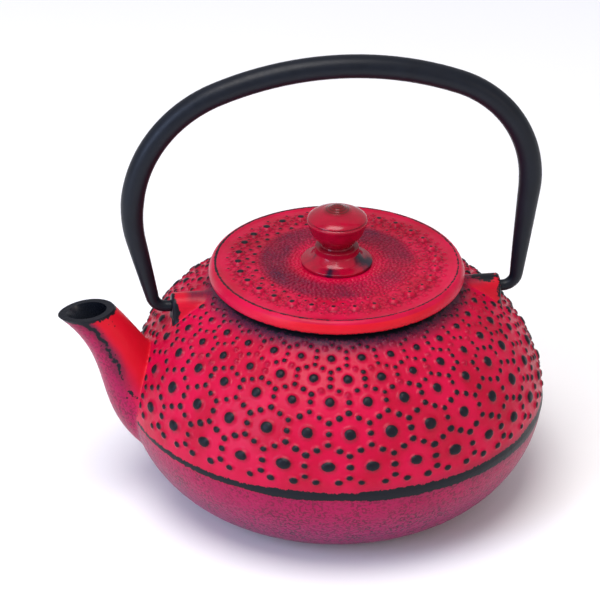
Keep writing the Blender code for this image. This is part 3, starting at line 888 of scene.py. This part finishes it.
def lid_outline():
    """Its closed section from the screw hole, out over the top and back under."""
    top, seat, under = LID_TOP, NECK_TOP + GAP, LID_TOP - LID_THICKNESS
    crown = np.array([(SCREW_RADIUS + GAP, top), (16, top), (24, top + 0.3), (33, top + 0.1), (41.2, top)])
    edge = smooth_through([
        (42.4, top + 0.3), (43.6, top + 0.2), (44.6, top - 0.9), (LID_RADIUS, top - 2.7),
        (LID_RADIUS - 0.1, top - 4), (LID_RADIUS - 0.8, seat),
    ], 8)
    upper = respaced(np.vstack([crown, edge]), 0.32)
    inner = SKIRT_RADIUS - 2.6
    below = np.array([
        (SKIRT_RADIUS, seat), (SKIRT_RADIUS, SKIRT_BOTTOM + 0.5), (SKIRT_RADIUS - 0.5, SKIRT_BOTTOM),
        (inner, SKIRT_BOTTOM), (inner, under - 1), (inner - 2, under), (SCREW_RADIUS + GAP, under),
    ])
    return np.vstack([upper, below])


# One cell of the lid's cast pattern: distance from the axis, quarters of a cell round from its middle,
# size, rise and radius of the rubbed top
LID_BUMPS = (
    (35.0, 0, 1.85, 1.30, 0.95),
    (35.0, 2, 0.80, 0.42, 0.30),
    (38.7, 2, 0.85, 0.45, 0.35),
    (38.2, 0, 0.75, 0.38, 0.10),
    (31.6, 2, 0.85, 0.45, 0.50),
    (31.9, 0, 0.70, 0.36, 0.10),
    (29.4, 0, 1.05, 0.50, 0.60),
    (36.9, 1, 0.70, 0.36, 0.10),
    (36.9, -1, 0.70, 0.36, 0.10),
    (33.2, 1, 0.70, 0.36, 0.10),
    (33.2, -1, 0.70, 0.36, 0.10),
)
PEBBLE_RINGS = (28.0, 13.6, 1.40)  # the outermost ring's radius, where they end, and their pitch
PEBBLE_SPACING = 1.6


def lid_bumps(rng):
    """Distance from the axis, angle, size, rise and rubbed-top radius of the lid's bumps."""
    spots = []
    for cell in range(CELLS):
        middle = PHASE + CELL * cell
        for distance, quarters, *sizes in LID_BUMPS:
            spots.append((distance, middle + CELL * quarters / 4, *sizes))
    distance, innermost, pitch = PEBBLE_RINGS
    while distance > innermost:
        count = round(math.tau * distance / PEBBLE_SPACING)
        start = rng.uniform(0, math.tau)
        for i in range(count):
            spots.append((distance, start + math.tau * i / count, 0.66, 0.42, 0.0))
        distance -= pitch
    spots = np.array(spots)
    loose = np.where(spots[:, 0] < 28.5, 0.20, 0.10)
    spots[:, 0] += loose * rng.normal(0, 1, len(spots))
    spots[:, 1] += loose * rng.normal(0, 1, len(spots)) / spots[:, 0]
    spots[:, 2:4] *= rng.normal(1, 0.09, (len(spots), 2))
    return spots


def make_lid():
    lid = turned("lid_casting", lid_outline(), 720, RUBBED_IRON, closed=True)
    points = points_of(lid)
    radius, angle = polar(points)
    outside = (points[:, 2] > LID_TOP - 0.4) & (radius > 3)
    # The bumps' rise, their rubbed tops, and painted shade round their feet and between the pebbles
    lift, dots, pit = np.zeros(len(points)), np.full(len(points), -3.0), np.zeros(len(points))
    lift[outside], dots[outside], pit[outside] = bump_fields(points[outside] * (1, 1, 0), angle[outside])
    points[:, 2] += lift
    move_points(lid, points)
    worn, scuff = wear_on_lid(points, radius, angle)
    # Painted warm light on the front of the lid's side band
    to_front = smoothstep(70, 20, np.abs(np.degrees(angle) + 90))
    warm = 0.8 * to_front * (radius > 44.2) * (points[:, 2] < LID_TOP - 0.8)
    add_attributes(lid, worn=worn, dots=dots, scuff=scuff * outside, warm=warm, pit=pit)
    paint_underside(lid)
    shade(lid, 48)
    return lid


def bump_fields(here, angle):
    """Rise, signed distance inside the rubbed tops, and shade round the feet, over the lid's top."""
    spots = lid_bumps(np.random.default_rng(SEED + 50))
    across, turn = spots[:, 0], spots[:, 1]
    flat = np.column_stack([across * np.cos(turn), across * np.sin(turn), across * 0])
    index, distance = nearest(flat, here, 3)
    distance = distance + 0.10 * ripple(here, 1.2, 51)[:, None]
    size, height, top = (spots[index, column] for column in (2, 3, 4))
    rise = (height * (1 - smoothstep(0.30, 1.0, distance / (size * 1.35)))).max(axis=1)
    black = top * rub_round_lid(angle)[:, None] - distance
    black = np.where(top > 0.05, black, -3).max(axis=1)
    # Painted shade in the crevices near the bumps' and pebbles' feet, inside the patterned field, stronger
    # near a big bump
    crevice = 1 - smoothstep(0.10, 0.75, rise / np.maximum(height.max(axis=1), 0.1))
    close = 1 - smoothstep(0.9, 1.9, (distance / size).min(axis=1))
    out = polar(here)[0]
    field = smoothstep(13.0, 17.0, out) * (1 - smoothstep(37.5, 40.5, out))
    depth = np.where((size > 1.4).any(axis=1), 1.1, 0.95)
    return rise, black, depth * crevice * close * field


def rub_round_lid(angle):
    """How far the bumps are rubbed: most at the back left."""
    return 0.95 + 0.40 * np.cos(angle - math.radians(150))


def wear_on_lid(points, radius, angle):
    """Black lines round the upper edge, and round the lower edge from wear with painted shadow of the gap
    below it, and the patchy smoke of the pebbled ring.
    """
    left = 0.5 + 0.5 * np.cos(angle - math.radians(170))
    top_edge = 0.40 + 0.26 * left - np.abs(radius - 42.9) * 1.5
    top_edge += 0.12 * ripple(points, 4.0, 61)
    # Wear, and painted shadow of the gap between lid and neck, along the lid's lowest edge
    low_edge = 0.10 - (points[:, 2] - NECK_TOP - 0.9) + 0.10 * ripple(points, 3.0, 62)
    on_side = (radius > 43.8) & (points[:, 2] < LID_TOP - 3)
    worn = np.where(points[:, 2] > LID_TOP - 1.2, top_edge, -3)
    worn = np.where(on_side, low_edge, worn)
    ring = smoothstep(15.0, 19.5, radius) * (1 - smoothstep(25.5, 29.5, radius))
    strong = np.interp(np.degrees(angle), (-180, -140, -95, -60, -20, 20, 60, 110, 150, 180),
                       (1.0, 0.95, 0.80, 0.35, 0.45, 0.85, 1.0, 0.75, 0.95, 1.0))
    patchy = strong + 0.28 * ripple(points, 8.0, 63)
    return worn, np.clip(0.78 * ring * patchy, 0, 1)


def paint_underside(lid):
    """The inner faces of the lid carry black enamel."""
    lid.data.materials.append(BLACK_ENAMEL)
    for face in lid.data.polygons:
        middle = face.center / MM
        radius = math.hypot(middle.x, middle.y)
        hidden = middle.z < LID_TOP - 1.5 and radius < LID_RADIUS - 1.6
        face.material_index = 1 if hidden else 0


# The knob, turned from a solid and satin finished

def knob_outline():
    top = KNOB_TOP
    cap = respaced(smooth_through([
        (0.02, top), (1.5, top - 0.3), (3.4, top - 1.35), (5.3, top - 2.3), (7.4, top - 3.05),
        (9.2, top - 3.95), (10.1, top - 4.65), (10.35, top - 5.0),
    ]), 0.25)
    bead = smooth_through([(10.35, top - 5.0), (10.0, top - 5.4), (10.5, top - 5.9), (10.5, top - 6.7)], 6)
    cup = smooth_through([
        (10.45, top - 7.0), (10.2, top - 7.6), (9.2, top - 10.6), (7, top - 13.4),
        (5.6, top - 15), (5.7, top - 15.6),
    ], 10)
    collar = smooth_through([(6.9, top - 15.7), (7.5, top - 15.9), (7.7, top - 16.2), (7.7, top - 17.6)], 4)
    flare = smooth_through([
        (7.8, top - 18.4), (9.6, top - 20.3), (12, top - 21.2), (12.6, KNOB_FOOT + 0.8), (12.6, KNOB_FOOT),
    ], 8)
    bore = SCREW_RADIUS + GAP
    hole = np.array([(bore, KNOB_FOOT), (bore, KNOB_FOOT + 11), (0, KNOB_FOOT + 11)])
    return np.vstack([(0, top), cap, bead[1:], cup, collar, flare, hole])


def make_knob():
    """Lathe rings round its tip, a tip browned by wear, painted shade in its groove and at its waist, and
    dark patches on its foot: a painted reflection at the front left, painted shade on the right and a faint
    one on the left.
    """
    knob = turned("knob_turning", knob_outline(), 200, SATIN_CRIMSON)
    points = points_of(knob)
    radius, angle = polar(points)
    height, angle = points[:, 2], np.degrees(angle)
    on_cone = (height > KNOB_TOP - 3.2) & (radius > 0.3)
    lathe = 0.07 * np.sin(radius * math.tau / 0.95) * smoothstep(6.4, 4.6, radius)
    points[:, 2] += np.minimum(lathe, 0) * on_cone
    move_points(knob, points)
    worn = np.full(len(points), -3.0)
    # Painted shade in the groove between the cap and the bead
    groove = 0.35 - np.abs(height - (KNOB_TOP - 5.4)) * 1.6
    worn = np.where((radius > 9.5) & (height < KNOB_TOP - 4.7) & (height > KNOB_TOP - 6.0), groove, worn)
    # Dark patches on the foot: painted shade on the right, a painted reflection at the front left and a
    # faint one on the left
    right = 2.0 - np.abs(angle + 26) / 16
    front_left = 1.3 - np.abs(angle + 111) / 15 - np.maximum(height - KNOB_FOOT - 1.6, 0)
    left = 0.3 - np.abs((angle % 360) - 190) / 14
    patch = np.maximum.reduce([right, front_left, left]) + 0.5 * ripple(points, 4.0, 72)
    worn = np.where(height < KNOB_FOOT + 4.2, patch, worn)
    rings = 0.5 + 0.5 * np.sin(radius * math.tau / 0.95 + 0.8)
    pit = (1 - smoothstep(3.6, 5.6, radius)) * (0.55 + 0.45 * rings) * (height > KNOB_TOP - 3.0)
    # Painted shade at the waist, under the cup
    waist = 0.35 * (1 - smoothstep(0.4, 1.6, np.abs(height - (KNOB_TOP - 15.4))))
    add_attributes(knob, worn=worn, pit=np.maximum(pit, waist))
    shade(knob, 40)
    return knob


# The bail: one bent tube whose ends hook into the lugs

def bend(route, heading, to_heading, radius):
    """Carries a centre line on round a bend. Headings are degrees below straight outwards."""
    distance, height = route[-1]
    steps = math.ceil(abs(to_heading - heading) / 2)
    start = math.radians(heading)
    for i in range(1, steps + 1):
        turn = math.radians(heading + (to_heading - heading) * i / steps)
        route.append((
            distance + radius * (math.sin(turn) - math.sin(start)),
            height - radius * (math.cos(start) - math.cos(turn)),
        ))


def bail_side(corner_bend, lean):
    """One side of the arch, from middle to pin: distance from the axis, height above the sockets."""
    top_bend, top_turn = BAIL_TOP_BEND
    route = [(0, BAIL_RISE)]
    bend(route, 0, top_turn, top_bend)
    bend(route, top_turn, 90 + lean, corner_bend)
    distance, height = route[-1]
    leg_end = BAIL_HOOK_BEND * (1 - math.sin(math.radians(lean)))
    for share in np.linspace(0, 1, 13)[1:]:
        drop = (height - leg_end) * share
        route.append((distance - drop * math.tan(math.radians(lean)), height - drop))
    bend(route, 90 + lean, 180, BAIL_HOOK_BEND)
    return route + [(BAIL_PIN_END, 0)]


def bail_route():
    """Its centre line from pin to pin, bent a little wider on the left."""
    left = [(-distance, height) for distance, height in reversed(bail_side(*BAIL_LEFT))]
    return np.array(left + bail_side(*BAIL_RIGHT)[1:])


def bail_radius(height):
    """The tube swells from the rod at the hooks to its full width part of the way up."""
    share = np.clip(height / BAIL_FULL_HEIGHT, 0, 1) ** 0.8
    return BAIL_ROD_RADIUS + (BAIL_TUBE_RADIUS - BAIL_ROD_RADIUS) * share


def make_bail():
    route = bail_route()
    centres = np.column_stack([route[:, 0], np.zeros(len(route)), route[:, 1] + LUG_AXIS])
    sections = [circle(48) * radius for radius in bail_radius(route[:, 1])]
    bail = tube("bail_tube", centres, frames_along(centres), sections, POWDER_COAT)
    shade(bail, 50)
    return bail


# The infuser: a wire basket with a pressed rim and base

def pressed_ring(name, outline):
    ring = turned(name, np.array(outline), 160, TURNED_STEEL, closed=True)
    shade(ring, 35)
    return ring


def make_infuser():
    low, inner = LEDGE_HEIGHT + GAP, BASKET_RADIUS + GAP
    outer, flange, top = inner + SHEET, LEDGE_OUTER - 0.4, LEDGE_HEIGHT + GAP + 0.8
    rim = pressed_ring("infuser_flange", [
        (inner, top - 0.1), (inner + 0.15, top), (flange - 0.2, top), (flange, top - 0.2), (flange, low),
        (outer, low), (outer, LEDGE_HEIGHT - 6), (inner, LEDGE_HEIGHT - 6),
    ])
    floor, lip = BASKET_BOTTOM + SHEET, BASKET_RADIUS - 4
    ring = pressed_ring("infuser_foot_ring", [
        (inner, BASKET_BOTTOM + 4.5), (outer, BASKET_BOTTOM + 4.5), (outer, BASKET_BOTTOM + 0.3),
        (outer - 0.3, BASKET_BOTTOM), (lip, BASKET_BOTTOM), (lip, floor), (inner, floor),
    ])
    return rim, woven_wall(), ring, woven_floor()


def woven(name, points, faces, wire):
    """Turns a grid sheet into a net of wires."""
    net = mesh_object(name, points, faces, WIRE_STEEL)
    modifier = net.modifiers.new("Wires", "WIREFRAME")
    modifier.thickness = wire * MM
    modifier.use_even_offset = False
    modifier.offset = 0
    apply_modifiers(net)
    return net


def woven_wall():
    radius, low, high = BASKET_RADIUS - SHEET / 2, BASKET_BOTTOM + 1.9, LEDGE_HEIGHT + 0.6
    columns, rows = 150, round((high - low) / NET_PITCH)
    angle = np.arange(columns) * math.tau / columns
    points = [
        (radius * math.cos(a), radius * math.sin(a), low + (high - low) * row / rows)
        for row in range(rows + 1) for a in angle
    ]
    return woven("infuser_net_wall", points, ring_faces(rows + 1, columns), 0.42)


def woven_floor():
    radius, height = BASKET_RADIUS - 0.1, BASKET_BOTTOM + SHEET + GAP + SHEET / 2
    count = int(radius / NET_PITCH) + 1
    grid, points = {}, []
    for i in range(-count, count + 1):
        for j in range(-count, count + 1):
            x, y = i * NET_PITCH, j * NET_PITCH
            if math.hypot(x, y) < radius - 0.3:
                grid[i, j] = len(points)
                points.append((x, y, height))
    squares = [[(i, j), (i + 1, j), (i + 1, j + 1), (i, j + 1)] for i, j in grid]
    faces = [[grid[corner] for corner in square] for square in squares if all(c in grid for c in square)]
    return woven("infuser_net_floor", points, faces, 0.40)


# Putting it together

def attach(piece, body, slot, *nodes):
    """Moves a piece with a body and shows it in place of the CAD nodes; the slot argument is not used."""
    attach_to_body(piece, body)
    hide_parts(*nodes)


def build_object():
    attach(make_pot(), "pot", "red_iron", "pot_body")
    attach(make_lid(), "lid", "red_iron", "lid")
    attach(make_knob(), "lid", "red_iron", "lid_knob")
    attach(make_bail(), "bail", "black_steel", "handle")
    nodes = ("infuser_rim", "infuser_wall", "infuser_base_ring", "infuser_base_mesh")
    for piece, name in zip(make_infuser(), nodes):
        attach(piece, "infuser", "stainless", name)
    for name in ("knob_screw", "knob_washer"):
        for slot in frame["nodes"][name].material_slots:
            slot.material = TURNED_STEEL


# Floor, light and camera

def lay_floor():
    half, height = 6000, -0.02
    corners = [(-half, -half), (half, -half), (half, half), (-half, half)]
    points = [(x, y, height) for x, y in corners]
    floor = mesh_object("pale_floor", points, [[0, 1, 2, 3]], plain_floor())


LIT_POINT = Vector((0, 0, 0.07))  # in metres, where every light is aimed


def area_light(name, place, size, power, colour):
    data = bpy.data.lights.new(name, "AREA")
    data.shape = "RECTANGLE"
    data.size, data.size_y = size
    data.energy = power
    data.color = colour
    light = bpy.data.objects.new(name, data)
    light.location = place
    light.rotation_euler = (LIT_POINT - Vector(place)).to_track_quat("-Z", "Y").to_euler()
    bpy.context.scene.collection.objects.link(light)


def light_scene():
    world = bpy.data.worlds.new("studio")
    world.use_nodes = True
    background = world.node_tree.nodes["Background"]
    background.inputs["Color"].default_value = (0.94, 0.94, 1.0, 1)
    background.inputs["Strength"].default_value = 0.56
    bpy.context.scene.world = world
    area_light("overhead", (-0.18, -0.28, 1.12), (0.7, 0.7), 10.3, (1.0, 0.97, 0.95))
    area_light("left_window", (-0.95, -0.55, 0.55), (0.45, 0.8), 7.5, (0.52, 0.66, 1.0))
    area_light("right_window", (0.80, -0.75, 0.40), (0.35, 0.6), 0.9, (1.0, 0.86, 0.76))


CAMERA_AIM, CAMERA_DISTANCE, CAMERA_LENS = Vector((-13, 0, 72.2)), 1006, 170
CAMERA_TURNS = (-8.2, 28.8, 0.4)  # degrees round from the front, up, and rolled


def place_camera():
    """Looks down at the pot from the front, a little to its left."""
    data = bpy.data.cameras.new("camera")
    data.lens = CAMERA_LENS
    data.sensor_width = 36
    azimuth, elevation, roll = (math.radians(turn) for turn in CAMERA_TURNS)
    level = math.cos(elevation)
    back = Vector((math.sin(azimuth) * level, -math.cos(azimuth) * level, math.sin(elevation)))
    side = Vector((0, 0, 1)).cross(back).normalized()
    up = back.cross(side)
    rolled = (side * math.cos(roll) + up * math.sin(roll), up * math.cos(roll) - side * math.sin(roll), back)
    camera = bpy.data.objects.new("camera", data)
    place = CAMERA_AIM * MM + back * CAMERA_DISTANCE * MM
    camera.matrix_world = Matrix.Translation(place) @ Matrix(rolled).transposed().to_4x4()
    bpy.context.scene.collection.objects.link(camera)
    bpy.context.scene.camera = camera


build_object()
lay_floor()
light_scene()
place_camera()
bpy.context.scene.view_settings.view_transform = "Standard"
